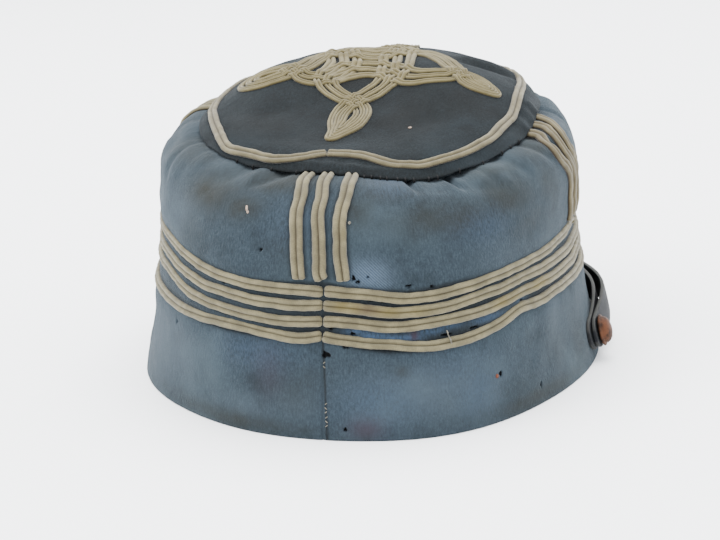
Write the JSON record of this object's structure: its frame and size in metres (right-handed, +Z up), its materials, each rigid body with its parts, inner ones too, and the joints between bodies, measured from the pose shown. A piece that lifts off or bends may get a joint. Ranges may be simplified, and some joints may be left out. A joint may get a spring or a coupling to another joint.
{
  "type": "kepi cap",
  "caption": "Soft wool kepi with a gathered crown, domed disc, braid rows, a Hungarian knot, leather peak and chin strap, open below for a head.",
  "frame": {"origin": "middle of the footprint of band and peak, at the height of the rim that it stands on", "axes": "+Z up; -Y is the front, where the peak is; -X is the wearer's right"},
  "size_m": [0.1742, 0.2439, 0.1075],
  "materials": {
    "wool": "napped wool cloth",
    "disc_wool": "soiled wool cloth",
    "braid": "two-rib soutache",
    "leather": "worn smooth leather",
    "copper": "tarnished copper"
  },
  "bodies": {
    "root": {"band": "wool", "crown_side": "wool", "crown_disc": "disc_wool", "band_braid_1": "braid", "band_braid_2": "braid", "band_braid_3": "braid", "band_braid_4": "braid", "back_braid_1": "braid", "back_braid_2": "braid", "back_braid_3": "braid", "right_braid_1": "braid", "right_braid_2": "braid", "right_braid_3": "braid", "front_braid_1": "braid", "front_braid_2": "braid", "front_braid_3": "braid", "left_braid_1": "braid", "left_braid_2": "braid", "left_braid_3": "braid", "crown_ring_braid": "braid", "crown_knot": "braid", "peak": "leather", "chin_strap_inner": "leather", "chin_strap_outer": "leather", "button_right": "copper", "button_left": "copper"}
  },
  "joints": []
}
